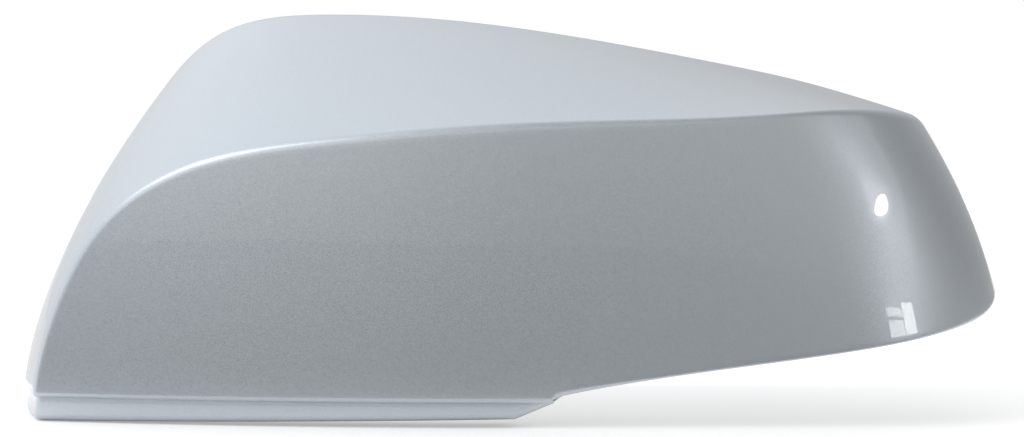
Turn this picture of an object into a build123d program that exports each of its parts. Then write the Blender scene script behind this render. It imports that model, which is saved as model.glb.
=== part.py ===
"""Wing mirror cover: the painted cap of a car's wing mirror, one injection moulding.

X runs along the cover from the outer end to the door end, Y from the front face to
the open rear, Z up. The origin is below the middle of the cover, at its lowest point.
"""

from build123d import *
from math import dist, hypot
import os

os.makedirs("parts", exist_ok=True)

# Overall sizes, in millimetres
cover_length = 234.0
cover_depth = 86.0
cover_height = 95.0
crease_height = 67.6

# Walls and edges
wall = 2.5
crease_radius = 2.0
edge_chamfer = 0.7
roof_crown = 5.0

# Step in the rear rim that lies inside the mirror housing
rim_step = 2.0

# Front face: how far its ends, top and bottom fall back from the middle
outer_bow = 18.0
door_bow = 5.0
top_lean = 3.5
bottom_lean = 1.0

# Door end: its reach past half the length at the bottom, and how it draws in with height
door_overhang = 3.9
door_sweep = 0.0045

# Lower edge of the front face, and the lip set back below it
face_bottom = 5.7
lip_set_back = 1.1
lip_wall = 1.8
lip_overlap = 4.0
lip_end = 12.0
lip_slant = 9.0
lip_rise = 2.0
lip_corner = 5.5
flange_width = 13.0
flange_wall = 1.8
flange_rise = 1.4
flange_depth = 38.0

# Snap clips
clip_width = 12.0
clip_wall = 2.0
clip_reach = 18.0
clip_drop = 9.0
hook_height = 2.2
hook_length = 4.5
gusset_wall = 1.5
gusset_reach = 10.0

# Lower hook tabs, standing on the flange
tab_width = 10.0
tab_height = 11.0
tab_margin = 2.0

# Locating pegs: a bare end on a thicker root with a cross of ribs
peg_radius = 3.0
peg_length = 34.0
peg_chamfer = 0.8
peg_bare_end = 10.0
peg_shoulder = 0.8
peg_rib_span = 14.0
peg_rib_wall = 1.4

# Places worked out from the sizes above
outer_tip = -cover_length / 2
door_tip = cover_length / 2
door_reach = door_tip + door_overhang
front = -cover_depth / 2
rear = cover_depth / 2
rim_seat = rear - rim_step
half_wall = wall / 2

# How far the working solids run past the ends of the cover
overrun = 4.0
below = -12.0
far = 160.0

# Outlines seen from the front, from below the outer end over the roof to the door end
front_outline = [
    (outer_tip + 15.4, below),
    (outer_tip + 15.2, 12.0),
    (outer_tip + 20.4, 30.5),
    (outer_tip + 30.9, crease_height - 22.6),
    (outer_tip + 49.9, crease_height - 12.3),
    (-35.0, crease_height - 4.6),
    (8.5, crease_height),
    (door_tip - 59.5, crease_height + 2.3),
    (door_tip - 24.5, crease_height + 3.0),
    (door_tip - 2.5, crease_height - 7.6),
]
rear_outline = [
    (outer_tip - 1.0, below),
    (outer_tip + 3.4, 17.5),
    (outer_tip + 12.8, 40.3),
    (outer_tip + 28.2, cover_height - 25.2),
    (outer_tip + 44.4, cover_height - 5.2),
    (-45.5, cover_height + 0.9),
    (-2.5, cover_height - 2.0),
    (door_tip - 64.5, cover_height - 11.8),
    (door_tip - 27.5, cover_height - 21.5),
    (door_tip + 1.5, cover_height - 35.0),
]

# Places along the front face, short of the roll at the door end
face_places = [outer_tip - 9.0, -77.0, -27.0, 16.0]

# Heights of the three plan outlines of the front face, with their set-back
plan_levels = [(-8.0, bottom_lean), (46.0, 0.0), (cover_height + 5.0, top_lean)]

# Roll from the front face into the door end: distance before the end, set-back
roll_points = [(42.0, 1.8), (22.0, 5.2), (7.0, 15.5), (0.0, 38.0), (-1.2, 62.0), (-1.6, 100.0)]

# Lower edge of the front face from the end of the lip to the door end, seen from the front
lower_edge = [
    (lip_end, face_bottom + 2 * edge_chamfer),
    (36.0, face_bottom + 5.8),
    (door_tip - 40.0, face_bottom + 11.4),
    (door_tip - 19.0, face_bottom + 15.1),
    (door_tip - 10.0, face_bottom + 17.4),
    (door_tip - 4.0, face_bottom + 19.9),
    (door_tip, face_bottom + 23.6),
    (door_tip + 3.0, face_bottom + 31.0),
]

# Rear edge of the door end, seen from the side
door_edge_start = door_tip - 47.0
door_edge = [(front + 33.0, -10.0), (front + 36.0, 22.0), (front + 52.0, 46.0), (rear + 8.0, 70.0)]

# Where the clips, tabs and pegs stand
roof_clip_places = [-58.0, -4.0, 48.0]
roof_clip_back = 14.0
outer_clip_height = 34.0
outer_clip_back = 10.0
door_clip_height = 46.0
door_clip_back = -18.0
tab_places = [-86.0, -48.0, -10.0]
peg_places = [(-50.0, 36.0), (56.0, 44.0)]


def moved_out(points, amount):
    """Move each point of an outline to the left of the way that the outline runs."""
    moved = []
    for index, (along, across) in enumerate(points):
        before = points[max(index - 1, 0)]
        after = points[min(index + 1, len(points) - 1)]
        run = after[0] - before[0]
        rise = after[1] - before[1]
        length = hypot(run, rise)
        moved.append((along - amount * rise / length, across + amount * run / length))
    return moved


def middle_outline():
    """Outline halfway between front and rear, with a crown that fades to the door end."""
    halfway = []
    for (x_front, z_front), (x_rear, z_rear) in zip(front_outline, rear_outline):
        halfway.append(((x_front + x_rear) / 2, (z_front + z_rear) / 2))
    crowned = []
    for (x, z), (x_out, z_out) in zip(halfway, moved_out(halfway, roof_crown)):
        share = (door_reach - x) / (door_reach - outer_tip)
        crowned.append((x + share * (x_out - x), z + share * (z_out - z)))
    return crowned


def roof_at(x):
    """Height of the middle outline at an X, along the chord between its points."""
    for (x_before, z_before), (x_after, z_after) in zip(middle_outline(), middle_outline()[1:]):
        if x_before <= x <= x_after:
            return z_before + (z_after - z_before) * (x - x_before) / (x_after - x_before)


def outer_end_at(height):
    """X of the middle outline's outer end at a height, along the chord between its points."""
    for (x_before, z_before), (x_after, z_after) in zip(middle_outline(), middle_outline()[1:]):
        if z_before <= height <= z_after:
            return x_before + (x_after - x_before) * (height - z_before) / (z_after - z_before)


def door_end_at(height):
    """X of the door end at a height."""
    return door_reach - door_sweep * height**2


def face_at(x):
    """Y of the front face at an X, short of the roll at the door end."""
    bow = outer_bow if x < 0 else door_bow
    return front + bow * (2 * x / cover_length) ** 2


def lip_bottom(x):
    """Height of the lip's lower edge, which rises from the outer end."""
    return lip_rise * (x - outer_tip) / (lip_end - lip_slant - outer_tip)


def shared_pace(outlines):
    """Share of its length that each point has reached, averaged over outlines of one loft."""
    pace = [0.0] * len(outlines[0])
    for outline in outlines:
        steps = [dist(start, end) for start, end in zip(outline, outline[1:])]
        for index in range(len(outline)):
            pace[index] += sum(steps[:index]) / sum(steps) / len(outlines)
    return pace


def plan_outline(level, lean):
    """Plan outline of the front face and the roll into the door end, at a level."""
    face_points = [(x, face_at(x) + lean) for x in face_places]
    return face_points + [(door_end_at(level) - before_end, front + lean + set_back)
                          for before_end, set_back in roll_points]


def cover_form(inset):
    """Solid inside the cover's skin moved inwards by the inset, past all its edges."""
    stations = [front - overrun, 0.0, rear + overrun]
    outlines = [moved_out(outline, -inset)
                for outline in (front_outline, middle_outline(), rear_outline)]
    plans = [moved_out(plan_outline(level, lean), inset) for level, lean in plan_levels]
    with BuildPart() as form:
        for station, points in zip(stations, outlines):
            x_end, z_end = points[-1]
            with BuildSketch(Plane.XZ.offset(-station)):
                with BuildLine():
                    add(Edge.make_spline(points, parameters=shared_pace(outlines)))
                    Polyline((x_end, z_end), (far, z_end), (far, 2 * below),
                             (points[0][0], 2 * below), points[0])
                make_face()
        loft()
        for (level, lean), points in zip(plan_levels, plans):
            with BuildSketch(Plane.XY.offset(level)):
                with BuildLine():
                    add(Edge.make_spline(points, parameters=shared_pace(plans)))
                    Polyline(points[-1], (points[0][0], points[-1][1]), points[0])
                make_face()
        loft(mode=Mode.INTERSECT)
    return form.part


def lower_skin_edges(part):
    """Edges where the faces that look down meet the skin, short of the rear rim."""
    looking_down = part.faces().filter_by(lambda face: face.normal_at().Z < -0.5)
    curved = looking_down.edges().filter_by(GeomType.LINE, reverse=True)
    return curved.filter_by(lambda edge: edge.center().Y < rim_seat - wall)


outer_form = cover_form(0.0)
middle_form = cover_form(half_wall)
inner_form = cover_form(wall)
lip_form = cover_form(lip_set_back)

# Lip below the front face and the flange that returns from its lower edge
with BuildPart() as lip:
    add(lip_form)
    with BuildSketch(Plane.XZ.offset(-rim_seat)) as lip_outline:
        with BuildLine():
            Polyline((outer_tip, 0.0), (lip_end - lip_slant, lip_rise),
                     (lip_end, face_bottom), (lip_end, face_bottom + lip_overlap),
                     (outer_tip, face_bottom + lip_overlap), close=True)
        make_face()
        fillet(lip_outline.vertices().group_by(Axis.X)[0].sort_by(Axis.Y)[0], lip_corner)
    extrude(amount=cover_depth, mode=Mode.INTERSECT)
    chamfer(lower_skin_edges(lip), edge_chamfer)
    add(cover_form(lip_set_back + lip_wall), mode=Mode.SUBTRACT)

with BuildPart() as flange:
    add(cover_form(lip_set_back + lip_wall / 2))
    add(cover_form(lip_set_back + flange_width), mode=Mode.SUBTRACT)
    with BuildSketch(Plane.XZ.offset(-front - flange_depth)):
        with BuildLine():
            stop = lip_end - lip_slant
            Polyline((outer_tip, flange_rise), (stop, lip_rise + flange_rise),
                     (stop, lip_rise + flange_rise + flange_wall),
                     (outer_tip, flange_rise + flange_wall), close=True)
        make_face()
    extrude(amount=cover_depth, mode=Mode.INTERSECT)

# Tongue on the rear rim, half the wall thick
with BuildPart() as rim:
    add(middle_form)
    add(inner_form, mode=Mode.SUBTRACT)
    with BuildSketch(Plane.XZ.offset(-rear)):
        with BuildLine():
            Polyline((-far, face_bottom), (door_edge_start, face_bottom),
                     (door_edge_start, far), (-far, far), close=True)
        make_face()
    extrude(amount=2 * rim_step, mode=Mode.INTERSECT)

# Clips, tabs and pegs, run into the wall and cut off halfway through it
clips = [((x, roof_clip_back, roof_at(x)), (1, 0, 0)) for x in roof_clip_places]
clips.append(((outer_end_at(outer_clip_height), outer_clip_back, outer_clip_height), (0, 0, 1)))
clips.append(((door_end_at(door_clip_height), door_clip_back, door_clip_height), (0, 0, -1)))
tongue = wall + clip_drop

with BuildPart() as fittings:
    for place, across in clips:
        side = Plane(origin=place, x_dir=(0, 1, 0), z_dir=across)
        with BuildSketch(side):
            with BuildLine():
                Polyline((0, tongue), (0, -tongue - clip_wall), (clip_reach, -tongue - clip_wall),
                         (clip_reach, -tongue), (clip_reach - hook_length, hook_height - tongue),
                         (clip_reach - hook_length, -tongue), (clip_wall, -tongue),
                         (clip_wall, tongue), close=True)
            make_face()
        extrude(amount=clip_width / 2, both=True)
        for edge in (-1, 1):
            with BuildSketch(side.offset(edge * (clip_width - gusset_wall) / 2)):
                with BuildLine():
                    Polyline((clip_wall / 2, -tongue), (clip_wall / 2, tongue),
                             (-gusset_reach, tongue), (-gusset_reach, -2 * wall), close=True)
                make_face()
            extrude(amount=gusset_wall / 2, both=True)
    for x in tab_places:
        back = face_at(x) + lip_set_back + flange_width - tab_margin
        foot = lip_bottom(x) + flange_rise + flange_wall / 2
        side = Plane(origin=(x, back, foot), x_dir=(0, 1, 0), z_dir=(1, 0, 0))
        with BuildSketch(side):
            with BuildLine():
                Polyline((-clip_wall, 0), (0, 0), (0, tab_height - hook_length),
                         (hook_height, tab_height - hook_length), (0, tab_height),
                         (-clip_wall, tab_height), close=True)
            make_face()
        extrude(amount=tab_width / 2, both=True)
        for edge in (-1, 1):
            with BuildSketch(side.offset(edge * (tab_width - gusset_wall) / 2)):
                with BuildLine():
                    Polyline((-clip_wall / 2, 0), (-clip_wall / 2, tab_height - hook_length),
                             (tab_margin - flange_width, 0), close=True)
                make_face()
            extrude(amount=gusset_wall / 2, both=True)
    for x, height in peg_places:
        tip = face_at(x) + wall + peg_length
        with BuildSketch(Plane.XZ.offset(-tip)):
            with Locations((x, height)):
                Circle(peg_radius)
        extrude(amount=cover_depth)
        tip_edge = fittings.edges(Select.LAST).filter_by(GeomType.CIRCLE).sort_by(Axis.Y)[-1]
        chamfer(tip_edge, peg_chamfer)
        with BuildSketch(Plane.XZ.offset(peg_bare_end - tip)):
            with Locations((x, height)):
                Circle(peg_radius + peg_shoulder)
                Rectangle(peg_rib_span, peg_rib_wall)
                Rectangle(peg_rib_wall, peg_rib_span)
        extrude(amount=cover_depth)
    add(middle_form, mode=Mode.INTERSECT)

# Skin with its crease, cut to the rim and the lower edge, hollowed and fitted out
with BuildPart() as cover:
    add(outer_form)
    crease = cover.edges().sort_by(lambda edge: edge.center().Z - edge.center().Y)[-1]
    fillet(crease, crease_radius)
    with BuildSketch(Plane.XZ.offset(-rim_seat)):
        with BuildLine():
            lower = Spline(*lower_edge)
            Polyline(lower @ 1, (far, lower_edge[-1][1]), (far, far), (-far, far),
                     (-far, face_bottom), (lip_end, face_bottom), lower @ 0)
        make_face()
    extrude(amount=cover_depth + overrun, mode=Mode.INTERSECT)
    chamfer(lower_skin_edges(cover), edge_chamfer)
    add(inner_form, mode=Mode.SUBTRACT)
    with BuildSketch(Plane.YZ.offset(door_edge_start)):
        with BuildLine():
            cut = Spline(*door_edge)
            Polyline(cut @ 1, (far, door_edge[-1][1]), (far, door_edge[0][1]), cut @ 0)
        make_face()
    extrude(amount=far, mode=Mode.SUBTRACT)
    add([rim.part, lip.part, flange.part, fittings.part])

cover.part.label = "mirror_cover"
export_step(cover.part, "parts/mirror_cover.step")
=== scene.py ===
"""Wing mirror cover: the painted shell with its lip and inner fittings, in a plain studio.

All shapes are worked out in millimetres in the part's own frame: X from the outer end to
the door end, Y from the front face to the open rear, Z up.
"""

import math

import bmesh
import bpy
import numpy as np
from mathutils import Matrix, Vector


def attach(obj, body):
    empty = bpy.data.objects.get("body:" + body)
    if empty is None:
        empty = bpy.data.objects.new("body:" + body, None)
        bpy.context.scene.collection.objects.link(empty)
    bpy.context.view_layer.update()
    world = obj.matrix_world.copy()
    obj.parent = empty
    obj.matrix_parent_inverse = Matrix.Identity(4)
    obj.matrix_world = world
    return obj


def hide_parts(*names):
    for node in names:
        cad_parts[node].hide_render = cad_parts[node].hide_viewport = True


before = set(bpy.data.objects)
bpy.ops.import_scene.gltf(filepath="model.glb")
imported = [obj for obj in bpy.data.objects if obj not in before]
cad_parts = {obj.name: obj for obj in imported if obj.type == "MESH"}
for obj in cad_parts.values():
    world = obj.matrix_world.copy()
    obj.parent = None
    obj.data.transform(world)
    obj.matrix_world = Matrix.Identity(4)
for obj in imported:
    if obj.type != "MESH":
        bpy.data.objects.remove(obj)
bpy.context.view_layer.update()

# Sizes of the cover, in millimetres
cover_length = 234.0
cover_depth = 86.0
cover_height = 95.0
crease_height = 67.6
wall = 2.5
roof_crown = 5.0
rim_step = 2.0
outer_bow = 18.0
door_bow = 5.0
top_lean = 3.5
bottom_lean = 1.0
door_overhang = 3.9
door_sweep = 0.0045
face_bottom = 5.7
edge_radius = 1.4
fine_edge_radius = 0.7
edge_fade = 24.0
soft_step = 0.6
rim_radius = 0.3

outer_tip = -cover_length / 2
door_tip = cover_length / 2
door_reach = door_tip + door_overhang
front = -cover_depth / 2
rear = cover_depth / 2
rim_seat = rear - rim_step
below = -12.0
overrun = 4.0
x_way, y_way, z_way = np.eye(3)

# Lip below the front face and the flange that returns from it
lip_set_back = 1.1
lip_wall = 1.8
lip_overlap = 4.0
lip_end = 12.0
lip_slant = 9.0
lip_rise = 2.0
lip_corner = 5.5
lip_step = 1.4
lip_edge = 1.5
lip_gap = 0.2
lip_levels = (-0.5, 4.5, face_bottom + lip_overlap)
flange_width = 13.0
flange_wall = 1.8
flange_rise = 1.4
flange_depth = 38.0
flange_levels = (0.0, 3.0, 8.0)

# Snap clips, tabs and pegs
clip_width = 12.0
clip_wall = 2.0
clip_reach = 18.0
clip_drop = 9.0
hook_height = 2.2
hook_length = 4.5
gusset_wall = 1.5
gusset_reach = 10.0
tab_width = 10.0
tab_height = 11.0
tab_margin = 2.0
peg_radius = 3.0
peg_length = 34.0
peg_chamfer = 0.8
peg_bare_end = 10.0
peg_shoulder = 0.8
peg_rib_span = 14.0
peg_rib_wall = 1.4

# Outlines seen from the front, from below the outer end over the roof to the door end
front_outline = np.array([
    (outer_tip + 15.4, below),
    (outer_tip + 15.2, 12.0),
    (outer_tip + 20.4, 30.5),
    (outer_tip + 30.9, crease_height - 22.6),
    (outer_tip + 49.9, crease_height - 12.3),
    (-35.0, crease_height - 4.6),
    (8.5, crease_height),
    (door_tip - 59.5, crease_height + 2.3),
    (door_tip - 24.5, crease_height + 3.0),
    (door_tip - 2.5, crease_height - 7.6),
])
rear_outline = np.array([
    (outer_tip - 1.0, below),
    (outer_tip + 3.4, 17.5),
    (outer_tip + 12.8, 40.3),
    (outer_tip + 28.2, cover_height - 25.2),
    (outer_tip + 44.4, cover_height - 5.2),
    (-45.5, cover_height + 0.9),
    (-2.5, cover_height - 2.0),
    (door_tip - 64.5, cover_height - 11.8),
    (door_tip - 27.5, cover_height - 21.5),
    (door_tip + 1.5, cover_height - 35.0),
])

# Plan outlines of the front face: places along it, heights with their set-back, and the roll
face_places = np.array([outer_tip - 9.0, -77.0, -27.0, 16.0])
plan_levels = [(-8.0, bottom_lean), (46.0, 0.0), (cover_height + 5.0, top_lean)]
roll_points = np.array([(42.0, 1.8), (22.0, 5.2), (7.0, 15.5),
                        (0.0, 38.0), (-1.2, 62.0), (-1.6, 100.0)])

# Lower edge of the front face past the lip, and the rear edge of the door end
lower_edge = np.array([
    (lip_end, face_bottom + lip_step),
    (36.0, face_bottom + 5.8),
    (door_tip - 40.0, face_bottom + 11.4),
    (door_tip - 19.0, face_bottom + 15.1),
    (door_tip - 10.0, face_bottom + 17.4),
    (door_tip - 4.0, face_bottom + 19.9),
    (door_tip, face_bottom + 23.6),
    (door_tip + 3.0, face_bottom + 31.0),
])
door_edge_start = door_tip - 47.0
door_edge = np.array([(front + 33.0, -10.0), (front + 36.0, 22.0),
                      (front + 52.0, 46.0), (rear + 8.0, 70.0)])

# Where the clips, tabs and pegs stand
roof_clip_places = [-58.0, -4.0, 48.0]
roof_clip_back = 14.0
outer_clip_height = 34.0
outer_clip_back = 10.0
door_clip_height = 46.0
door_clip_back = -18.0
tab_places = [-86.0, -48.0, -10.0]
peg_places = [(-50.0, 36.0), (56.0, 44.0)]

# Where the skin's grids turn a corner, and where the outer end and the roll begin
left_split = -90.0
right_split = 60.0
split_depth = -28.0
outer_end_x = -95.0
roll_x = 80.0

# Radius of the crease at shares of the way from the foot of the outer end to the door end's rim
crease_radii = [(0.0, 2.2), (0.2, 2.6), (0.45, 2.6), (0.62, 1.7),
                (0.7, 1.7), (0.78, 4.5), (0.85, 7.5), (1.0, 6.0)]

# How finely pieces are cut up and places searched: points, steps round an edge, rounds, and
# the small differences for slopes
rough_count = 900
fine_count = 2500
crease_count = 330
band_steps = 9
edge_steps = 5
skirt_counts = (90, 9, 200)
tongue_count = 260
peg_sides = 48
settle_rounds = 10
lower_rounds = 80
lower_start = 8.0
halvings = 44
tiny_share = 1e-5
tiny_length = 1e-3

# Turns round the foot of lip and flange, eased edges, the tongue's root, true corners in degrees
lip_turn = 1.6
flange_turn = 0.4
turn_back = 0.97
turn_along = 0.9
lip_inner_ease = 0.2
edge_ease = 0.25
rib_ease = 0.2
tongue_root = 0.6
edge_share = 0.45
corner_angle = 38.0
bevel_angle = 30.0

# Finishes: sizes are cells per metre, tones are linear
flake_scale = 5200.0
flake_tilt = 0.07
flake_gloss = (0.46, 0.36)
silver_low = (0.545, 0.59, 0.64)
silver_high = (0.585, 0.63, 0.68)
peel_scale = 380.0
peel_height = 0.000006
lacquer_gloss = 0.025
lacquer_bending = 1.65
grain_scale = 2200.0
grain_height = 0.00006
cloud_scale = 28.0
plastic_gloss = (0.42, 0.62)
plastic_low = (0.032, 0.032, 0.034)
plastic_high = (0.062, 0.062, 0.066)
dust_share = 0.5
dust_reach = 5.0
dust_step = 4

# Camera, in metres, degrees and millimetres of lens and sensor
camera_aim = (0.0024, -0.043, 0.048)
camera_distance = 0.8
camera_lift = 3.0
camera_lens = 124.2
sensor_width = 36.0

# Studio, in metres: the floor's size and tones, the reach and softness of its painted contact shadow,
# and the surroundings as light
floor_half = 1.1
floor_tone = (0.6, 0.6, 0.6)
floor_lift = (0.62, 0.62, 0.62)
painted_shadow_reach = 0.035
painted_shadow_softness = 0.6
surround_light = 0.7

# Tones of the room by turns from the front towards the door end, at six lifts, all in degrees
room_radius = 1.6
room_lifts = [0, 10, 30, 48, 70, 90]
room_turns = [-180, -165, -150, -120, -100, -80, -60, -34, -10, 0, 20, 60, 100, 140, 165, 180]
room_tones = [
    [0.52, 0.74, 0.78, 0.83, 1.12, 0.88, 0.70, 0.60, 0.54, 0.46, 0.38, 0.38, 0.36, 0.38, 0.45, 0.52],
    [0.55, 0.78, 0.83, 0.93, 1.28, 0.92, 1.02, 1.27, 0.90, 0.66, 0.48, 0.38, 0.36, 0.40, 0.48, 0.55],
    [0.82, 0.99, 1.04, 1.08, 1.08, 0.90, 1.10, 1.28, 0.85, 0.67, 0.46, 0.37, 0.38, 0.48, 0.70, 0.82],
    [0.95, 1.07, 1.12, 1.12, 1.10, 1.25, 1.25, 0.80, 0.62, 0.55, 0.44, 0.40, 0.44, 0.58, 0.87, 0.95],
    [1.00, 1.05, 1.10, 1.10, 1.10, 1.15, 1.10, 0.62, 0.50, 0.46, 0.42, 0.42, 0.52, 0.70, 0.95, 1.00],
    [0.60] * 16,
]
dome_counts = (121, 46)
warm_side = (1.0, 0.985, 0.95)
cool_side = (0.975, 1.0, 1.03)
cool_way = (-0.4, 0.5, 0.4)

# Soft light over the crease, and boards on the floor in front of and behind the cover
crease_light_place = (-0.75, -0.46, 1.03)
crease_light_aim = (0.0, 0.0, 0.05)
crease_light_size = (0.8, 0.6)
crease_power = 2.5
board_lift = 0.002
board_count = 40
board_gap = 0.011
board_glow = [(-0.3, 0.31), (-0.1, 0.34), (0.15, 0.31)]
rear_start = 0.06
rear_glow = 0.85

# Panel on the door side: its two edges as lifts and turns, in degrees, and its glow across,
# which fades below the lamp to a plain tone, with a halo round the lamp
panel_radius = 0.9 * room_radius
panel_counts = (40, 21)
panel_edge = [(0.0, 38.0), (16.0, 58.0), (24.0, 69.0), (40.0, 72.0)]
panel_start = [(0.0, 22.5), (4.0, 22.0), (8.0, 26.0), (15.0, 37.0), (22.0, 49.0), (40.0, 51.0)]
panel_glow = [(0.0, 0.5), (0.6, 0.5), (0.85, 0.95), (1.0, 1.35)]
panel_tone = 0.38
panel_dimming = [(0.0, 0.0), (8.0, 0.1), (11.0, 0.6), (15.0, 1.0)]
panel_halo = 2.2
panel_halo_middle = (42.5, 17.5)
panel_halo_size = (4.5, 4.0)

# Lamp as an oval of turns and lifts about the place that mirrors it; distance, size and glow
lamp_place = (0.0865, -0.038, 0.051)
lamp_middle = (45.0, 15.5)
lamp_across = (5.4, 1.4)
lamp_up = (4.6, 2.7)
lamp_parts = [("small_lamp", 1.0, 0.95, 17.0), ("lamp_shade", 1.05, 1.7, 2.0)]

# Window card from its near to its far foot; panes as shares along it, heights and glow
window_foot = (0.198, -0.264)
window_end = (0.262, -0.223)
window_slope = 0.0135
window_panes = [(0.0, 0.52, 0.0215, 0.0275, 4.8), (0.0, 0.52, 0.0055, 0.019, 4.8),
                (0.56, 1.0, 0.005, 0.031, 6.2)]


def moved_out(points, amount):
    """Each point of an outline moved to the left of the chord between its neighbours."""
    padded = np.concatenate([points[:1], points, points[-1:]])
    chord = unit(padded[2:] - padded[:-2])
    return points + amount * np.stack([-chord[:, 1], chord[:, 0]], axis=1)


def middle_outline():
    """Points halfway between the two outlines, moved out by a crown that fades to the door end."""
    halfway = (front_outline + rear_outline) / 2
    share = (door_reach - halfway[:, :1]) / (door_reach - outer_tip)
    return halfway + share * (moved_out(halfway, roof_crown) - halfway)


def face_at(x):
    """Y of the front face: a parabola in X on each side of the middle."""
    x = np.asarray(x)
    return front + np.where(x < 0, outer_bow, door_bow) * (2 * x / cover_length) ** 2


def through_three(level, levels, lines):
    """Points at a level on the parabola through three lines of points, each at its own level."""
    level = np.asarray(level)[..., None]
    a, b, c = levels
    return ((level - b) * (level - c) / ((a - b) * (a - c)) * lines[0]
            + (level - a) * (level - c) / ((b - a) * (b - c)) * lines[1]
            + (level - a) * (level - b) / ((c - a) * (c - b)) * lines[2])


def plan_outline(level, lean):
    """The front face's plan at a level: the bowed face, then the roll into the door end."""
    face_part = np.stack([face_places, face_at(face_places) + lean], axis=1)
    door_end = door_reach - door_sweep * level**2
    roll_part = np.stack([door_end - roll_points[:, 0], front + lean + roll_points[:, 1]], axis=1)
    return np.concatenate([face_part, roll_part])


class Spline:
    """Curve of cubic pieces through points, with its bend continuous where the pieces meet.

    The slope at each end is that of the one cubic through the four points there.
    """

    def __init__(self, points, pace=None):
        if pace is None:
            steps = np.linalg.norm(np.diff(points, axis=0), axis=1)
            pace = np.concatenate([[0.0], np.cumsum(steps)]) / steps.sum()
        self.pace, self.points = pace, points
        gap = np.diff(pace)
        inner = np.arange(1, len(pace) - 1)
        system = np.eye(len(pace))
        system[inner, inner - 1] = 1 / gap[:-1]
        system[inner, inner] = 2 / gap[:-1] + 2 / gap[1:]
        system[inner, inner + 1] = 1 / gap[1:]
        chords = np.diff(points, axis=0) / gap[:, None] ** 2
        target = np.zeros_like(points)
        target[inner] = 3 * (chords[:-1] + chords[1:])
        for end, four in ((0, slice(4)), (-1, slice(-4, None))):
            powers = np.vander(pace[four] - pace[end], increasing=True)
            target[end] = np.linalg.solve(powers, points[four])[1]
        self.slopes = np.linalg.solve(system, target)

    def at(self, where):
        """Points at the given shares of the way along."""
        where = np.asarray(where, float)
        piece = np.clip(np.searchsorted(self.pace, where, side="right") - 1, 0, len(self.pace) - 2)
        gap = (self.pace[piece + 1] - self.pace[piece])[..., None]
        t = (where - self.pace[piece])[..., None] / gap
        back = 1 - t
        return (self.points[piece] * (1 + 2 * t) * back**2
                + self.slopes[piece] * gap * t * back**2
                + self.points[piece + 1] * t**2 * (1 + 2 * back)
                - self.slopes[piece + 1] * gap * t**2 * back)


class Loft:
    """Surface through three outlines at levels of one axis.

    Each outline is a spline, and at each share along them a parabola runs across.
    """

    def __init__(self, outlines, levels, axis):
        steps = np.linalg.norm(np.diff(outlines, axis=1), axis=2)
        run = np.concatenate([np.zeros((3, 1)), np.cumsum(steps, axis=1)], axis=1)
        pace = (run / run[:, -1:]).mean(axis=0)
        self.spline = Spline(np.concatenate(list(outlines), axis=1), pace)
        self.levels, self.axis = levels, axis

    def __call__(self, share, level):
        """Point at a share along the outlines and a level, which is one of its coordinates."""
        share, level = np.broadcast_arrays(np.asarray(share, float), np.asarray(level, float))
        flat = through_three(level, self.levels, np.split(self.spline.at(share), 3, axis=-1))
        parts = [flat[..., 0], flat[..., 1]]
        parts.insert(self.axis, level)
        return np.stack(parts, axis=-1)


class Form:
    """The cover's skin moved inwards by an inset: a roof across Y and a front across Z.

    Each side is a surface, the axis that rises along it and the shares to search between.
    """

    def __init__(self, inset):
        lines = (front_outline, middle_outline(), rear_outline)
        outlines = np.stack([moved_out(line, -inset) for line in lines])
        plans = np.stack([moved_out(plan_outline(level, lean), inset) for level, lean in plan_levels])
        self.roof = Loft(outlines, (front - overrun, 0.0, rear + overrun), 1)
        self.face = Loft(plans, tuple(level for level, lean in plan_levels), 2)
        self.sides = {"roof": (self.roof, 0, 0.12, 1.0), "outer_end": (self.roof, 2, 0.0, 0.4),
                      "front": (self.face, 0, 0.0, 0.62), "door_end": (self.face, 1, 0.6, 1.0)}

    def share(self, side, value, level):
        """Share along a side where its rising coordinate has a value, at a level, by halving."""
        surface, axis, low, high = self.sides[side]
        return halved(lambda share: surface(share, level)[..., axis] - value,
                      np.shape(value + level), low, high)

    def point(self, side, value, level):
        """Point of a side where its rising coordinate has a value, at a level."""
        return self.sides[side][0](self.share(side, value, level), level)

    def crease(self, total):
        """Where roof and front meet, for given sums of the two shares.

        Gives roof share, depth, face share and height. The roof share is halved in on until
        the two surfaces agree in X. At each try the height is the roof's at the front's depth
        and the depth the front's at the roof's height.
        """
        def past(along):
            depth, height = self.settle(along, total - along)
            return self.roof(along, depth)[..., 0] - self.face(total - along, height)[..., 0]
        low, high = np.maximum(0.0, total - 1), np.minimum(1.0, total)
        along = halved(past, np.shape(total), low, high)
        depth, height = self.settle(along, total - along)
        return along, depth, total - along, height

    def settle(self, along, face_along):
        """Depth and height that a roof line and a front line agree on, found by turns."""
        depth = np.full(np.shape(along), front)
        for _ in range(settle_rounds):
            height = self.roof(along, depth)[..., 2]
            depth = self.face(face_along, height)[..., 1]
        return depth, height

    def crease_between(self, foot, end):
        """Crease shares at even steps of length, from the foot's height to the end's depth."""
        total = np.linspace(0.04, 1.96, rough_count)
        _, depth, _, height = self.crease(total)
        lower, upper = total < 0.5, total > 1.4
        first = np.interp(foot, height[lower], total[lower])
        last = np.interp(end, depth[upper], total[upper])
        total = np.linspace(first, last, fine_count)
        along, depth, _, _ = self.crease(total)
        steps = np.linalg.norm(np.diff(self.roof(along, depth), axis=0), axis=1)
        run = np.concatenate([[0.0], np.cumsum(steps)])
        return self.crease(np.interp(np.linspace(0, run[-1], crease_count), run, total))


def halved(rising, shape, low, high):
    """Where a rising function crosses zero, by halving the bracket for every entry at once."""
    low, high = np.full(shape, low), np.full(shape, high)
    for _ in range(halvings):
        middle = (low + high) / 2
        short = rising(middle) < 0
        low, high = np.where(short, middle, low), np.where(short, high, middle)
    return (low + high) / 2


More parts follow.
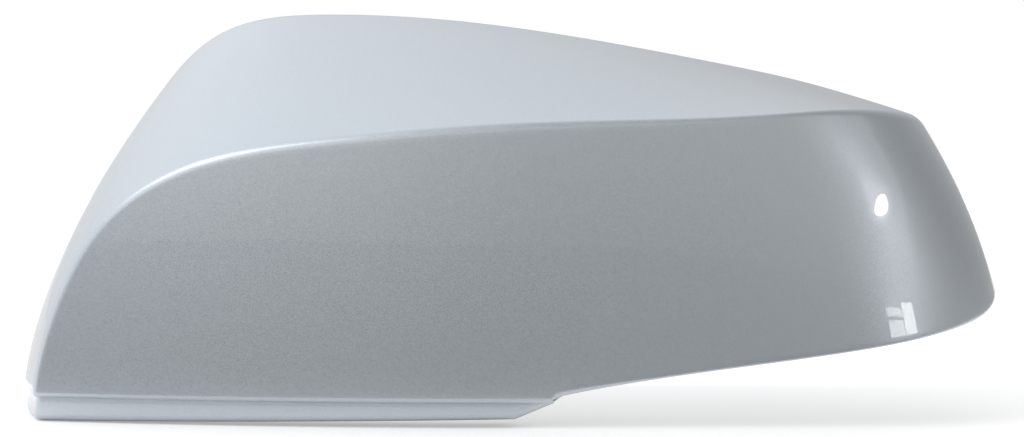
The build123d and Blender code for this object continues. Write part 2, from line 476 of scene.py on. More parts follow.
def lower_height(x):
    """Height of the front face's lower edge: level over the lip, a soft step, then its spline."""
    line = Spline(lower_edge).at(np.linspace(0, 1, 600))
    curve = by_steps(x, line)
    step = np.clip((np.asarray(x) - lip_end + soft_step) / (2 * soft_step), 0, 1)
    return face_bottom + (curve - face_bottom) * step * step * (3 - 2 * step)


def door_depth(height):
    """Depth of the door end's rear edge at a height, never past the rim."""
    line = Spline(door_edge).at(np.linspace(0, 1, 400))
    return np.minimum(by_steps(height, line[:, ::-1]), rim_seat)


def edge_round(x):
    """Radius of the front face's lower edge: fuller over the lip than past it."""
    return np.interp(x, [lip_end, lip_end + edge_fade], [edge_radius, fine_edge_radius])


def lower_points(form, along, rounded):
    """Heights of the front's lower edge at shares along it, or above it by its radius, by turns."""
    height = np.full(np.shape(along), face_bottom + lower_start)
    for _ in range(lower_rounds):
        x = form.face(along, height)[..., 0]
        height = 0.5 * height + 0.5 * (lower_height(x) + rounded * edge_round(x))
    return height


def coons(bottom, top, left, right):
    """Grid inside four sides: the ruled blends of opposite sides, less the corners' blend."""
    s = np.linspace(0, 1, len(bottom))[None, :, None]
    t = np.linspace(0, 1, len(left))[:, None, None]
    ruled = ((1 - t) * bottom[None] + t * top[None]
             + (1 - s) * left[:, None] + s * right[:, None])
    corners = ((1 - s) * (1 - t) * bottom[0] + s * (1 - t) * bottom[-1]
               + (1 - s) * t * top[0] + s * t * top[-1])
    return ruled - corners


def framed(grid, bottom, top, left, right):
    """A grid of points with its four sides set to the given ones exactly."""
    grid[0], grid[-1], grid[:, 0], grid[:, -1] = bottom, top, left, right
    return grid


def by_steps(places, table):
    """Values at places, even between the steps of a table of places and values."""
    return np.interp(places, *np.transpose(table))


def unit(vectors):
    """Vectors cut to length one."""
    return vectors / np.linalg.norm(vectors, axis=-1, keepdims=True)


def dot(first, second):
    """Dot product of vectors, row by row."""
    return (first * second).sum(-1)


def slopes_on(surface, a, b):
    """A surface's two slopes, by differences over a tiny share and a tiny length."""
    return ((surface(a + tiny_share, b) - surface(a - tiny_share, b)) / (2 * tiny_share),
            (surface(a, b + tiny_length) - surface(a, b - tiny_length)) / (2 * tiny_length))


def step_on(surface, a, b, direction, length):
    """Shares reached by a step on a surface: the direction written in the surface's two slopes."""
    slope_a, slope_b = slopes_on(surface, a, b)
    aa, ab, bb = dot(slope_a, slope_a), dot(slope_a, slope_b), dot(slope_b, slope_b)
    da, db = dot(direction, slope_a), dot(direction, slope_b)
    spread = aa * bb - ab**2
    return a + length * (da * bb - db * ab) / spread, b + length * (db * aa - da * ab) / spread


def normal_on(surface, a, b):
    """Unit normal of a surface: the cross product of its two slopes."""
    return unit(np.cross(*slopes_on(surface, a, b)))


class Skin:
    """One skin of the cover, as a roof grid, a front grid and the loop of points round them.

    The rounded skin stops short of its edges by their radii and has a band round the crease:
    across the band each line is the conic arc between the two tangent points.
    """

    def __init__(self, form, rounded, split=None):
        edge, rim = (edge_radius, rim_radius) if rounded else (0.0, 0.0)
        along, depth, face_along, height = form.crease_between(face_bottom + edge, rim_seat - rim)
        line = form.roof(along, depth)
        if split is None:
            left_turn = int(np.argmin(np.abs(line[:, 0] - left_split)))
            right_turn = int(np.argmax((line[:, 0] > right_split) & (depth > split_depth)))
            split = (left_turn, right_turn)
        self.split = split
        turn, corner = split
        roof_side, face_side = np.stack([along, depth], 1), np.stack([face_along, height], 1)
        self.band = line[:, None, :]
        if rounded:
            roof_side, face_side, self.band = self.round_crease(form, line, roof_side, face_side)
        self.grow_roof(form, roof_side, corner, edge, rim)
        self.grow_face(form, face_side, turn, rounded, rim)
        foot_way, end_way = unit(line[0] - line[3]), unit(line[-1] - line[-4])
        foot, end = self.band[0], self.band[-1]
        foot_edge = foot + foot_way * ((face_bottom - foot[:, 2:]) / foot_way[2])
        end_edge = end + end_way * ((rim_seat - end[:, 1:2]) / end_way[1])
        if not rounded:
            foot, end = np.repeat(foot, band_steps, 0), np.repeat(end, band_steps, 0)
            foot_edge, end_edge = foot, end
        self.loop = np.concatenate([
            self.end_line[::-1], foot, self.lower_line, self.door_line,
            end[::-1], self.rim_line[::-1]])
        self.edge_loop = np.concatenate([
            self.end_edge[::-1], foot_edge, self.lower_edge, self.door_edge,
            end_edge[::-1], self.rim_edge[::-1]])

    def round_crease(self, form, line, roof_side, face_side):
        """Tangent points either side of the crease, and the arcs between them.

        Each lies the radius times the tangent of half the turn away from the crease.
        """
        way = unit(np.gradient(line, axis=0))
        roof_normal = -normal_on(form.roof, *roof_side.T)
        face_normal = normal_on(form.face, *face_side.T)
        at_end, in_roll = line[:, 0:1] < outer_end_x, line[:, 0:1] > roll_x
        roof_normal *= np.sign(roof_normal[:, 2:] + 1e-9 - roof_normal[:, 0:1] * at_end)
        face_normal *= np.sign(-face_normal[:, 1:2] + face_normal[:, 0:1] * in_roll)
        turn = np.arccos(np.clip(dot(roof_normal, face_normal), -1, 1))
        into_roof, into_face = unit(np.cross(roof_normal, way)), unit(np.cross(face_normal, way))
        into_roof *= np.sign(-dot(into_roof, face_normal))[:, None]
        into_face *= np.sign(-dot(into_face, roof_normal))[:, None]
        radius = by_steps(np.linspace(0, 1, len(line)), crease_radii)
        reach = radius * np.tan(turn / 2)
        roof_side = np.stack(step_on(form.roof, *roof_side.T, into_roof, reach), 1)
        face_side = np.stack(step_on(form.face, *face_side.T, into_face, reach), 1)
        start, finish = form.roof(*roof_side.T), form.face(*face_side.T)
        planes = np.stack([normal_on(form.roof, *roof_side.T),
                           normal_on(form.face, *face_side.T), way], axis=1)
        offsets = np.stack([dot(planes[:, 0], start), dot(planes[:, 1], finish),
                            dot(way, (start + finish) / 2)], axis=1)
        apex = np.linalg.solve(planes, offsets[..., None])[..., 0]
        return roof_side, face_side, conic(start, apex, finish, np.cos(turn / 2), band_steps)

    def grow_roof(self, form, side, corner, edge, rim):
        """Roof grid between the crease, the rim and the outer end's lower edge."""
        bottom, right = side[:corner + 1], side[corner:]
        count = len(right)
        depths = np.linspace(side[0, 1], rim_seat - rim, count)
        start_height = form.roof(*side[0])[2]
        foot = face_bottom + edge
        heights = np.linspace(start_height, foot, count) - face_bottom - edge
        heights = foot + heights * np.linspace(1, 0, count) ** 4
        left = np.stack([form.share("outer_end", heights, depths), depths], 1)
        left[0] = side[0]
        pace = np.linspace(0, 1, len(bottom))
        top_pace = (bottom[:, 0] - bottom[0, 0]) / (bottom[-1, 0] - bottom[0, 0])
        top = np.stack([left[-1, 0] + (side[-1, 0] - left[-1, 0]) * top_pace,
                        left[-1, 1] + (side[-1, 1] - left[-1, 1]) * pace**8], 1)
        shares = coons(bottom, top, left, right)
        points = form.roof(shares[..., 0], shares[..., 1])
        self.end_line, self.rim_line = form.roof(*left.T), form.roof(*top.T)
        self.roof = framed(points, self.band[:corner + 1, 0], self.rim_line,
                           self.end_line, self.band[corner:, 0])
        self.rim_line[-1], self.end_line[0] = self.band[-1, 0], self.band[0, 0]
        edge_depths = np.linspace(side[0, 1], rim_seat, count)
        end_shares = form.share("outer_end", face_bottom, edge_depths)
        self.end_edge = form.roof(end_shares, edge_depths)
        rim_shares = end_shares[-1] + (side[-1, 0] - end_shares[-1]) * top_pace
        self.rim_edge = form.roof(rim_shares, np.full(len(top), rim_seat))

    def grow_face(self, form, side, turn, rounded, rim):
        """Front grid between the crease, the lower edge and the door end's rear edge."""
        left, top = side[:turn + 1], side[turn:]
        corner = self.lower_corner(form, rounded, rim)
        pace = (top[:, 0] - top[0, 0]) / (top[-1, 0] - top[0, 0])
        shares = left[0, 0] + (corner - left[0, 0]) * pace
        heights = lower_points(form, shares, rounded)
        heights += (left[0, 1] - heights[0]) * np.linspace(1, 0, len(heights)) ** 6
        bottom = np.stack([shares, heights], 1)
        rise = np.linspace(bottom[-1, 1], top[-1, 1], turn + 1)
        depths = door_depth(rise) - rim
        right = np.stack([form.share("door_end", depths, rise), rise], 1)
        right[0], right[-1] = bottom[-1], top[-1]
        mesh = coons(bottom, top, left, right)
        points = form.face(mesh[..., 0], mesh[..., 1])
        self.lower_line, self.door_line = form.face(*bottom.T), form.face(*right.T)
        self.lower_line[0], self.door_line[-1] = self.band[0, -1], self.band[-1, -1]
        self.face = framed(points, self.lower_line, self.band[turn:, -1],
                           self.band[:turn + 1, -1], self.door_line)
        edge_corner = self.lower_corner(form, False, 0.0)
        edge_shares = left[0, 0] + (edge_corner - left[0, 0]) * pace
        self.lower_edge = form.face(edge_shares, lower_points(form, edge_shares, False))
        edge_rise = np.linspace(self.lower_edge[-1, 2], top[-1, 1], turn + 1)
        self.door_edge = form.point("door_end", door_depth(edge_rise), edge_rise)

    def lower_corner(self, form, rounded, rim):
        """Share along the plan where the lower edge meets the door end's rear edge, by halving."""
        def past(share):
            height = lower_points(form, share, rounded)
            return form.face(share, height)[..., 1] - door_depth(height) + rim
        return float(halved(past, (), 0.6, 0.98))


def conic(start, apex, finish, weight, steps):
    """Arcs bent towards an apex: the rational quadratic with the given middle weight."""
    t = np.linspace(0, 1, steps)[None, :, None]
    weight = np.broadcast_to(weight, start.shape[:1])[:, None, None]
    a, b, c = (1 - t) ** 2, 2 * t * (1 - t) * weight, t**2
    return (a * start[:, None] + b * apex[:, None] + c * finish[:, None]) / (a + b + c)


def grid_faces(rows, columns, first, around=False):
    """Quads of a grid numbered row by row, its last column joined to the first if around."""
    row = np.arange(rows - 1)[:, None] * columns
    column = np.arange(columns if around else columns - 1)[None, :]
    beside = (column + 1) % columns
    above = row + columns
    quads = np.stack([row + column, row + beside, above + beside, above + column], -1)
    return first + quads.reshape(-1, 4)


def add_piece(name, grids, materials, around=False):
    """Mesh object from grids of points, welded where points coincide.

    Each grid comes with its material's number, or with one for each column of its faces.
    """
    points, quads, kinds, first = [], [], [], 0
    for grid, kind in grids:
        rows, columns = grid.shape[:2]
        faces = grid_faces(rows, columns, first, around)
        points.append(grid.reshape(-1, 3))
        quads.append(faces)
        kinds.append(np.broadcast_to(kind, (rows - 1, len(faces) // (rows - 1))).ravel())
        first += rows * columns
    points, quads, kinds = np.concatenate(points), np.concatenate(quads), np.concatenate(kinds)
    _, chosen, index = np.unique(np.round(points * 1000).astype(np.int64), axis=0,
                                 return_index=True, return_inverse=True)
    points, quads = points[chosen] * 0.001, index.reshape(-1)[quads]
    real = quads != np.roll(quads, 1, axis=1)
    real[(quads[:, 0] == quads[:, 2]) | (quads[:, 1] == quads[:, 3])] = False
    kept = real.sum(axis=1) > 2
    faces = [quad[own].tolist() for quad, own in zip(quads[kept], real[kept])]
    mesh = bpy.data.meshes.new(name)
    mesh.from_pydata(points.tolist(), [], faces)
    mesh.polygons.foreach_set("material_index", kinds[kept].astype(np.int32))
    return finish_piece(name, mesh, materials)


def add_object(name, data):
    """New object in the scene."""
    thing = bpy.data.objects.new(name, data)
    bpy.context.scene.collection.objects.link(thing)
    return thing


def finish_piece(name, mesh, materials):
    """Object for a mesh: faces turned outwards, smooth but for true corners, riding on the part."""
    shape = bmesh.new()
    shape.from_mesh(mesh)
    bmesh.ops.recalc_face_normals(shape, faces=shape.faces)
    shape.to_mesh(mesh)
    shape.free()
    for material in materials:
        mesh.materials.append(material)
    mesh.polygons.foreach_set("use_smooth", np.ones(len(mesh.polygons), bool))
    mesh.set_sharp_from_angle(angle=math.radians(corner_angle))
    piece = add_object(name, mesh)
    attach(piece, "root")
    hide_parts("mirror_cover")
    return piece


def tube(rings):
    """Rings of points closed at both ends by fans to their middles."""
    middles = np.broadcast_to(rings.mean(axis=1, keepdims=True), rings.shape)
    return np.concatenate([middles[:1], rings, middles[-1:]])


def skirt_path(form, height, depth_from, x_to, turn):
    """Line at one height along the skin: along the outer end, round the foot, along the front.

    The foot is where outer end and front have the same X; the turn round it is a parabola.
    """
    def past(share):
        x, depth, _ = form.face(share, height)
        return x - form.point("outer_end", height, depth)[0]
    end_count, turn_count, front_count = skirt_counts
    corner = form.face(halved(past, (), 0.0, 0.35), height)
    depths = np.linspace(depth_from, corner[1] + turn_back * turn, end_count)
    end_part = form.point("outer_end", height, depths)
    start = form.share("front", corner[0] + turn_along * turn, height)
    stop = form.share("front", x_to, height)
    front_part = form.face(np.linspace(start, stop, front_count), height)
    round_part = conic(end_part[-1:], corner[None], front_part[:1], 1.0, turn_count)[0]
    line = np.concatenate([end_part, round_part[1:-1], front_part])
    line[:, 2] = height
    return line


def skirt_rings(insets, levels, depth_from, x_to, turn, section):
    """Rings along a skirt from its section, given by X as shares across and heights.

    At each of two insets a parabola runs through three levels, and the share blends the two.
    """
    paths = [[skirt_path(Form(inset), level, depth_from, x_to, turn) for level in levels]
             for inset in insets]
    rings = []
    for share, height in section(paths[0][1][:, 0]):
        near, far = [through_three(height, levels, path) for path in paths]
        rings.append(near + share * (far - near))
    return np.stack(rings, axis=1)


def lip_slope(x):
    """Height of the lip's slow rise from the outer end to its slant."""
    return lip_rise * (x - outer_tip) / (lip_end - lip_slant - outer_tip)


def lip_bottom(x):
    """Height of the lip's lower edge: its slow rise, the slant and a round at the outer end."""
    slant = lip_rise + (face_bottom - lip_rise) * (x - lip_end + lip_slant) / lip_slant
    into = np.clip(outer_tip + lip_corner - x, 0, lip_corner)
    corner = lip_corner - np.sqrt(lip_corner**2 - into**2)
    return np.maximum(np.maximum(lip_slope(x), slant), corner)


def lip_section(x):
    """The lip's section at each X: outer side, rounded lower edge, inner side."""
    bottom, top = lip_bottom(x), np.full(len(x), lip_levels[2])
    across = lip_edge / lip_wall
    section = [(0.0, top), (0.0, (top + bottom) / 2)]
    section += [(across * (1 - math.cos(a)), bottom + lip_edge * (1 - math.sin(a)))
                for a in np.radians(np.linspace(0, 90, edge_steps + 1))]
    return section + [(0.9, bottom), (1.0, bottom + lip_inner_ease), (1.0, top)]


def flange_section(x):
    """The flange's section at each X: a flat bar from the lip inwards, its free edge eased."""
    low = lip_slope(x) + flange_rise
    high = low + flange_wall
    eased = 1 - edge_ease / flange_width
    return [(0.0, low), (eased, low), (1.0, low + edge_ease),
            (1.0, high - edge_ease), (eased, high), (0.0, high)]


def tongue_rings():
    """Sections of the rim's tongue: half the wall, from inside the seat to the rear, tip eased."""
    root, tip = rim_seat - tongue_root, rear - edge_ease
    lines = []
    for form in (Form(wall / 2), Form(wall)):
        first = form.share("outer_end", face_bottom, rim_seat)
        last = form.share("roof", door_edge_start, rim_seat)
        lines.append((form, np.linspace(first, last, tongue_count)))
    section = [(0.0, root), (0.0, tip), (0.2, rear), (0.8, rear), (1.0, tip), (1.0, root)]
    rings = []
    for share, depth in section:
        near, far = [form.roof(along, depth) for form, along in lines]
        rings.append(near + share * (far - near))
    return np.stack(rings, axis=1)


def peg_rings(form, x, height):
    """Peg turned about its axis: chamfered end, bare length, shoulder, root in the front wall."""
    tip = float(face_at(x)) + wall + peg_length
    angle = np.linspace(0, 2 * math.pi, peg_sides + 1)[:-1]
    shoulder, stop = peg_radius + peg_shoulder, tip - peg_bare_end
    profile = [(peg_radius - peg_chamfer, tip), (peg_radius, tip - peg_chamfer),
               (peg_radius, stop), (shoulder, stop), (shoulder, None)]
    rings = []
    for radius, depth in profile:
        across, up = x + radius * np.cos(angle), height + radius * np.sin(angle)
        ring = form.point("front", across, up)
        ring[:, 0] = across
        if depth is not None:
            ring[:, 1] = depth
        rings.append(ring)
    return np.stack(rings)


def add_prisms(name, prisms, materials, ease):
    """Mesh object from prisms, each two matching outlines of points joined by their sides."""
    points, faces = [], []
    for start, end in prisms:
        first, count = sum(len(p) for p in points), len(start)
        points += [np.asarray(start), np.asarray(end)]
        near = first + np.arange(count)
        sides = np.stack([near, np.roll(near, -1), np.roll(near, -1) + count, near + count], axis=1)
        faces += [near.tolist(), (near + count)[::-1].tolist()] + sides.tolist()
    mesh = bpy.data.meshes.new(name)
    mesh.from_pydata((np.concatenate(points) * 0.001).tolist(), [], faces)
    bevel = finish_piece(name, mesh, materials).modifiers.new("eased edges", "BEVEL")
    bevel.width, bevel.segments, bevel.limit_method = ease * 0.001, 2, "ANGLE"
    bevel.angle_limit = math.radians(bevel_angle)


def standing(outline, offset, place, across, out, top):
    """Outline of a plate's side in space: back along Y, up along the way out, moved across.

    With a top given, no point goes past the middle of the wall, and a height of None takes it.
    """
    rows = []
    for back, up in outline:
        spot = place + back * y_way + offset * across
        limit = top(spot) if top else up
        rows.append(spot + (limit if up is None else min(up, limit)) * out)
    return np.array(rows)


def with_gussets(side, gusset, width, place, across, out, top=None):
    """Prisms of a plate of a width from its side's outline, and of a gusset at each edge."""
    half, thick = width / 2, gusset_wall
    spans = [(side, -half, half), (gusset, -half, thick - half), (gusset, half - thick, half)]
    return [tuple(standing(line, offset, place, across, out, top) for offset in (low, high))
            for line, low, high in spans]


def clip_prisms(form, side, place, across, out):
    """One snap clip: a hooked tongue on a standing plate, with a gusset at each edge.

    Its top is on the side's wall, at the same level and the same rising coordinate.
    """
    place = np.array(place)
    surface, axis = form.sides[side][:2]

    def top(spot):
        return float(out @ (form.point(side, spot[axis], spot[surface.axis]) - place))

    tongue = wall + clip_drop
    hook = clip_reach - hook_length
    foot = -tongue - clip_wall
    plate = [(0, None), (0, foot), (clip_reach, foot), (clip_reach, -tongue),
             (hook, hook_height - tongue), (hook, -tongue), (clip_wall, -tongue), (clip_wall, None)]
    gusset = [(clip_wall / 2, -tongue), (clip_wall / 2, None),
              (-gusset_reach, None), (-gusset_reach, -2 * wall)]
    return with_gussets(plate, gusset, clip_width, place, across, out, top)


def clip_set(form):
    """All snap clips: three under the roof, one at the outer end and one at the door end."""
    middle = middle_outline()
    outer_x = by_steps(outer_clip_height, middle[:5, ::-1])
    door_x = door_reach - door_sweep * door_clip_height**2
    found = []
    for x in roof_clip_places:
        place = (x, roof_clip_back, by_steps(x, middle))
        found += clip_prisms(form, "roof", place, x_way, z_way)
    place = (outer_x, outer_clip_back, outer_clip_height)
    found += clip_prisms(form, "outer_end", place, z_way, -x_way)
    place = (door_x, door_clip_back, door_clip_height)
    return found + clip_prisms(form, "door_end", place, z_way, x_way)


def tab_prisms(x):
    """One hook tab standing on the flange, with a gusset at each edge."""
    back = float(face_at(x)) + lip_set_back + flange_width - tab_margin
    foot = lip_slope(x) + flange_rise + flange_wall / 2
    neck = tab_height - hook_length
    side = [(-clip_wall, 0), (0, 0), (0, neck), (hook_height, neck),
            (0, tab_height), (-clip_wall, tab_height)]
    gusset = [(-clip_wall / 2, 0), (-clip_wall / 2, neck),
              (tab_margin - flange_width + lip_wall, 0)]
    return with_gussets(side, gusset, tab_width, np.array([x, back, foot]), x_way, z_way)


def rib_prisms(form, x, height):
    """Cross of two ribs behind a peg's shoulder, run into the front wall."""
    back = float(face_at(x)) + wall + peg_length - peg_bare_end
    found = []
    for span, thick in ((peg_rib_span, peg_rib_wall), (peg_rib_wall, peg_rib_span)):
        across = x + np.array([-1, 1, 1, -1]) * span / 2
        up = height + np.array([-1, -1, 1, 1]) * thick / 2
        root = form.point("front", across, up)
        root[:, 0] = across
        found.append((root * (1, 0, 1) + (0, back, 0), root))
    return found


def fill(node, *inputs, **values):
    """Fill in a node: its first inputs in turn, and options and other inputs by name.

    The output of another node is linked, and any other value is set.
    """
    pairs = list(zip(node.inputs, inputs))
    for name, value in values.items():
        if hasattr(node, name):
            setattr(node, name, value)
        else:
            pairs.append((node.inputs[name.replace("_", " ")], value))
    for socket, value in pairs:
        if isinstance(value, bpy.types.NodeSocket):
            node.id_data.links.new(value, socket)
        else:
            socket.default_value = value
    return node


def add_node(tree, kind, *inputs, **values):
    """New node in a tree, filled in."""
    return fill(tree.nodes.new("ShaderNode" + kind), *inputs, **values)


def new_material(name):
    """New material with its node tree and its principled shader."""
    material = bpy.data.materials.new(name)
    material.use_nodes = True
    return material, material.node_tree, material.node_tree.nodes["Principled BSDF"]


def tone_steps(tree, share, *steps):
    """Colours by a share, even between two steps, each a place and a colour."""
    node = add_node(tree, "ValToRGB", share)
    for stop, (place, colour) in zip(node.color_ramp.elements, steps):
        stop.position, stop.color = place, (*colour, 1.0)
    return node.outputs["Color"]


def silver_paint_finish():
    """Silver metallic paint: flakes that tilt and differ a little, under lacquer with peel."""
    material, tree, shader = new_material("silver_paint")
    place = add_node(tree, "TexCoord").outputs["Object"]
    peel = add_node(tree, "TexNoise", place, Scale=peel_scale, Detail=1.5)
    lacquer = add_node(tree, "Bump", Height=peel.outputs["Fac"], Strength=1.0,
                       Distance=peel_height).outputs["Normal"]
    flakes = add_node(tree, "TexVoronoi", place, Scale=flake_scale).outputs["Color"]
    centred = add_node(tree, "VectorMath", flakes, (0.5, 0.5, 0.5), operation="SUBTRACT")
    tilt = add_node(tree, "VectorMath", centred.outputs["Vector"], (flake_tilt,) * 3, lacquer,
                    operation="MULTIPLY_ADD")
    facing = add_node(tree, "VectorMath", tilt.outputs["Vector"], operation="NORMALIZE")
    tone = add_node(tree, "SeparateColor", flakes)
    gloss = add_node(tree, "MapRange", tone.outputs["Red"], From_Min=0.65, From_Max=0.75,
                     To_Min=flake_gloss[0], To_Max=flake_gloss[1])
    fill(shader, Metallic=1.0, Coat_Weight=1.0, Coat_Roughness=lacquer_gloss,
         Coat_IOR=lacquer_bending, Coat_Normal=lacquer, Normal=facing.outputs["Vector"],
         Base_Color=tone_steps(tree, tone.outputs["Green"], (0.0, silver_low), (1.0, silver_high)),
         Roughness=gloss.outputs["Result"])
    return material


def bare_plastic_finish():
    """Dark moulded plastic: fine grain, flow clouds in tone and gloss, paint dust by the edges."""
    material, tree, shader = new_material("bare_plastic")
    place = add_node(tree, "TexCoord").outputs["Object"]
    grain = add_node(tree, "TexNoise", place, Scale=grain_scale, Detail=3.0,
                     Roughness=0.6).outputs["Fac"]
    relief = add_node(tree, "Bump", Height=grain, Strength=0.6, Distance=grain_height)
    cloud = add_node(tree, "TexNoise", place, Scale=cloud_scale, Detail=4.0,
                     Distortion=0.6).outputs["Fac"]
    dust = add_node(tree, "Attribute", attribute_name="paint_dust")
    speck = add_node(tree, "MapRange", grain, From_Min=0.3, From_Max=0.7, To_Min=0.35, To_Max=1.0)
    share = add_node(tree, "Math", dust.outputs["Fac"], speck.outputs["Result"],
                     operation="MULTIPLY")
    colour = add_node(tree, "Mix", share.outputs["Value"], data_type="RGBA")
    tone = tone_steps(tree, cloud, (0.3, plastic_low), (0.75, plastic_high))
    tree.links.new(tone, colour.inputs[6])
    colour.inputs[7].default_value = (*silver_low, 1.0)
    gloss = add_node(tree, "MapRange", cloud, To_Min=plastic_gloss[0], To_Max=plastic_gloss[1])
    fill(shader, Base_Color=colour.outputs[2], Roughness=gloss.outputs["Result"],
         Normal=relief.outputs["Normal"])
    return material


def add_paint_dust(piece, edge):
    """Paint dust on a piece: thickest at the shell's edge points, thinner away from them."""
    points = np.empty(3 * len(piece.data.vertices))
    piece.data.vertices.foreach_get("co", points)
    points = points.reshape(-1, 3) * 1000
    squares = (points**2).sum(axis=1)[:, None] + (edge**2).sum(axis=1) - 2 * points @ edge.T
    dust = dust_share * np.exp(-np.sqrt(np.maximum(squares.min(axis=1), 0)) / dust_reach)
    piece.data.attributes.new("paint_dust", "FLOAT", "POINT").data.foreach_set("value", dust)


def turn_to(thing, place, aim):
    """Put a camera or a light at a place and turn it to a point."""
    thing.location = place
    thing.rotation_euler = (Vector(aim) - Vector(place)).to_track_quat("-Z", "Y").to_euler()


def floor_finish():
    """Pale matt floor that the camera and reflections see as white, with the shadow kept. Near the
    cover its white glow is dimmed by ambient occlusion, a painted contact shadow.
    """
    material, tree, shader = new_material("pale_floor")
    # Painted contact shadow: the white glow falls with ambient occlusion near the cover, less for the
    # camera than for reflections
    near = add_node(tree, "AmbientOcclusion", samples=16, Distance=painted_shadow_reach)
    path = add_node(tree, "LightPath")
    soft = add_node(tree, "MapRange", path.outputs["Is Camera Ray"],
                    To_Min=0.0, To_Max=painted_shadow_softness)
    shade = add_node(tree, "MapRange", near.outputs["AO"], To_Min=soft.outputs["Result"], To_Max=1.0)
    lifted = add_node(tree, "Math", seen_directly(tree), shade.outputs["Result"],
                      operation="MULTIPLY")
    fill(shader, Base_Color=(*floor_tone, 1.0), Roughness=0.8, Emission_Color=(*floor_lift, 1.0),
         Emission_Strength=lifted.outputs["Value"])
    return material


def seen_directly(tree):
    """1 for rays from the camera, off a gloss or through glass, and 0 for light on matt surfaces."""
    path = add_node(tree, "LightPath")
    seen = path.outputs["Is Camera Ray"]
    for kind in ("Is Glossy Ray", "Is Transmission Ray"):
        either = add_node(tree, "Math", seen, path.outputs[kind], operation="MAXIMUM")
        seen = either.outputs["Value"]
    return seen


def studio_world():
    """White surroundings: full strength where seen, a little less as light on matt surfaces."""
    world = bpy.data.worlds.new("studio")
    bpy.context.scene.world = world
    world.use_nodes = True
    tree = world.node_tree
    strength = add_node(tree, "MapRange", seen_directly(tree), To_Min=surround_light, To_Max=1.0)
    fill(tree.nodes["Background"], (1.0, 1.0, 1.0, 1.0), strength.outputs["Result"])


def studio_card(name, grid, glow, tint=(1.0, 1.0, 1.0), lights_all=False):
    """Stage card out of the camera's sight: a grid of points in metres, each with a glow.

    Only the gloss shows it, unless it lights all surfaces.
    """
    rows, columns = grid.shape[:2]
    mesh = bpy.data.meshes.new(name)
    mesh.from_pydata(grid.reshape(-1, 3).tolist(), [], grid_faces(rows, columns, 0).tolist())
    colours = np.ones((rows, columns, 4), np.float32)
    colours[..., :3] = np.asarray(glow)[..., None] * np.asarray(tint)
    mesh.attributes.new("glow", "FLOAT_COLOR", "POINT").data.foreach_set("color", colours.ravel())
    material, tree, shader = new_material(name)
    colour = add_node(tree, "Attribute", attribute_name="glow")
    fill(shader, Base_Color=(0.0, 0.0, 0.0, 1.0), Specular_IOR_Level=0.0, Emission_Strength=1.0,
         Emission_Color=colour.outputs["Color"])
    mesh.materials.append(material)
    card = add_object(name, mesh)
    card.visible_camera = False
    card.visible_shadow = card.visible_diffuse = lights_all


def dome_points(turns, lifts, radius):
    """Points of a ball: turns from the front towards the door end, lifts from level."""
    turn, lift = np.radians(turns), np.radians(lifts)
    level = np.cos(lift)
    parts = np.broadcast_arrays(level * np.sin(turn), -level * np.cos(turn), np.sin(lift))
    return radius * np.stack(parts, -1)


def dome_glow(turns, lifts):
    """Tone of the room at each turn and lift: even steps between the tones listed."""
    level = np.stack([np.interp(turns, room_turns, tones) for tones in room_tones])
    return np.stack([np.interp(lifts, room_lifts, tones) for tones in level.T], axis=1)


silver_paint = silver_paint_finish()
bare_plastic = bare_plastic_finish()

# Shell: two skins and the strip round their edges
outer = Skin(Form(0.0), True)
inner = Skin(Form(wall), False, outer.split)
reach = np.linalg.norm(outer.edge_loop - outer.loop, axis=1, keepdims=True)
inward = inner.edge_loop - outer.edge_loop
width = np.linalg.norm(inward, axis=1, keepdims=True)
turned = outer.edge_loop + inward * np.minimum(reach / width, edge_share)
edge_arcs = conic(outer.loop, outer.edge_loop, turned, math.cos(math.radians(45)), edge_steps)
shell = add_piece("cover_shell", [
    (outer.roof, 0), (outer.band, 0), (outer.face, 0), (edge_arcs, 0),
    (np.stack([turned, inner.loop], axis=1), 1), (inner.roof, 1), (inner.face, 1),
], [silver_paint, bare_plastic])

# Lip, painted but for its inner side, and the bare pieces behind the shell
lip_tube = tube(skirt_rings((lip_set_back, lip_set_back + lip_wall), lip_levels,
                            rim_seat - lip_gap, lip_end, lip_turn, lip_section))
bare_inside = np.arange(lip_tube.shape[1]) > lip_tube.shape[1] - 3
lip = add_piece("lower_lip", [(lip_tube, bare_inside)], [silver_paint, bare_plastic], around=True)
flange_tube = tube(skirt_rings(
    (lip_set_back + lip_wall / 2, lip_set_back + flange_width), flange_levels,
    front + flange_depth, lip_end - lip_slant, flange_turn, flange_section))
flange = add_piece("lower_flange", [(flange_tube, 0)], [bare_plastic], around=True)
tongue = add_piece("rim_tongue", [(tube(tongue_rings()), 0)], [bare_plastic], around=True)
for piece in (shell, lip, flange, tongue):
    add_paint_dust(piece, turned[::dust_step])
half_form = Form(wall / 2)
pegs = [(tube(peg_rings(half_form, x, z)), 0) for x, z in peg_places]
ribs = [prism for x, z in peg_places for prism in rib_prisms(half_form, x, z)]
tabs = [prism for x in tab_places for prism in tab_prisms(x)]
add_piece("locating_pegs", pegs, [bare_plastic], around=True)
add_prisms("peg_ribs", ribs, [bare_plastic], rib_ease)
add_prisms("snap_clips", clip_set(half_form), [bare_plastic], edge_ease)
add_prisms("hook_tabs", tabs, [bare_plastic], edge_ease)

# Camera where the photo was taken from
lift = math.radians(camera_lift)
camera = add_object("camera", bpy.data.cameras.new("camera"))
away = camera_distance * Vector((0.0, -math.cos(lift), math.sin(lift)))
turn_to(camera, Vector(camera_aim) + away, camera_aim)
camera.data.lens = camera_lens
camera.data.sensor_width = sensor_width
bpy.context.scene.camera = camera

# Floor and surroundings
floor_mesh = bpy.data.meshes.new("floor")
ends = (-floor_half, floor_half)
floor_mesh.from_pydata([(x, y, 0) for y in ends for x in ends], [], [(0, 1, 3, 2)])
floor_mesh.materials.append(floor_finish())
add_object("floor", floor_mesh)
studio_world()

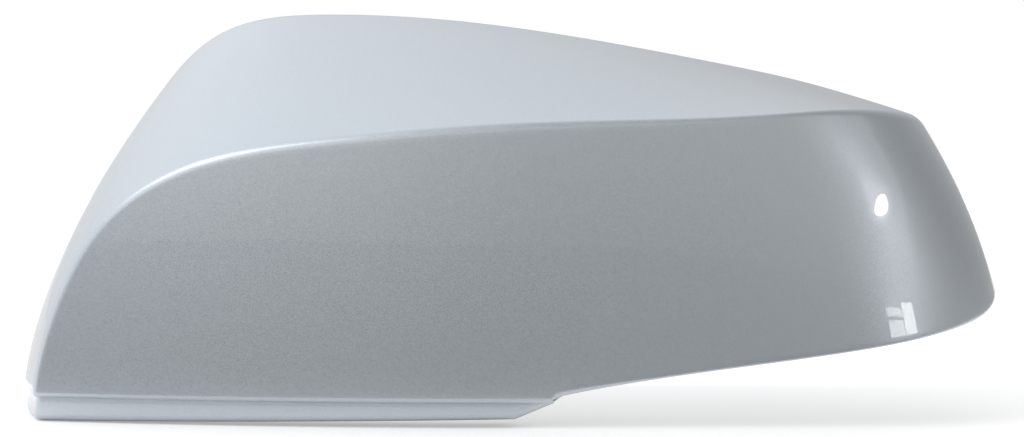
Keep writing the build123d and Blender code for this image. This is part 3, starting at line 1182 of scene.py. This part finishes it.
# Room that the paint mirrors: bright on the outer side, greyer in front and on the door side
dome_turns = np.linspace(room_turns[0], room_turns[-1], dome_counts[0])
dome_lifts = np.linspace(room_lifts[0], room_lifts[-1], dome_counts[1])
dome_grid = dome_points(*np.meshgrid(dome_turns, dome_lifts), room_radius)
coolness = np.clip(0.5 + dome_grid @ np.array(cool_way)[:, None] / room_radius, 0, 1)
dome_tint = np.array(warm_side) + (np.array(cool_side) - np.array(warm_side)) * coolness
studio_card("room_dome", dome_grid, dome_glow(dome_turns, dome_lifts), dome_tint, lights_all=True)
lamp = bpy.data.lights.new("crease_light", "AREA")
lamp.shape, lamp.energy = "RECTANGLE", crease_power
lamp.size, lamp.size_y = crease_light_size
turn_to(add_object("crease_light", lamp), crease_light_place, crease_light_aim)

# Grey board on the floor in front, below the picture, its edge along the face
face_x = np.linspace(outer_tip, door_tip, board_count)
board_x = np.concatenate([[-room_radius], face_x * 0.001, [room_radius]])
board_y = face_at(np.clip(board_x * 1000, outer_tip, door_tip)) * 0.001 - board_gap
board_rows = [np.broadcast_arrays(board_x, side, board_lift) for side in (-room_radius, board_y)]
studio_card("front_board", np.stack([np.stack(row, axis=-1) for row in board_rows]),
            by_steps(board_x, board_glow))
rear_board = np.array([[(x, y, board_lift) for x in (-room_radius, room_radius)]
                       for y in (rear_start, room_radius)])
studio_card("rear_board", rear_board, rear_glow)

# Panel on the door side that lightens the roll up to a slanted edge
panel_lifts = np.linspace(panel_edge[0][0], panel_edge[-1][0], panel_counts[0])
edge_turns = by_steps(panel_lifts, panel_edge)
start_turns = by_steps(panel_lifts, panel_start)
share = np.linspace(0, 1, panel_counts[1])
panel_turns = start_turns[:, None] + (edge_turns - start_turns)[:, None] * share
dimming = by_steps(panel_lifts, panel_dimming)[:, None]
aside = (panel_turns - panel_halo_middle[0]) / panel_halo_size[0]
above = (panel_lifts[:, None] - panel_halo_middle[1]) / panel_halo_size[1]
across = panel_tone + dimming * (by_steps(share, panel_glow) - panel_tone)
studio_card("door_side_panel", dome_points(panel_turns, panel_lifts[:, None], panel_radius),
            across + panel_halo * np.exp(-aside**2 - above**2))

# Small lamp with a soft shade, and a window of three panes beside the roll
angle = np.radians(np.linspace(0, 360, 49))[:, None]
rim = np.cos(angle) * np.array(lamp_across) + np.sin(angle) * np.array(lamp_up)
for name, distance, size, glow in lamp_parts:
    around = np.array(lamp_middle) + size * np.stack([0 * rim, rim])
    disc = dome_points(around[..., 0], around[..., 1], distance)
    studio_card(name, np.array(lamp_place) + disc, glow)
for index, (left, right, low, high, glow) in enumerate(window_panes):
    sides = np.array([[left], [right]])
    plan = np.array(window_foot) + (np.array(window_end) - np.array(window_foot)) * sides
    pane = [np.concatenate([plan, height + window_slope * sides], axis=1) for height in (low, high)]
    studio_card(f"window_pane_{index + 1}", np.stack(pane), glow)

bpy.context.scene.view_settings.view_transform = "Standard"
bpy.context.view_layer.update()
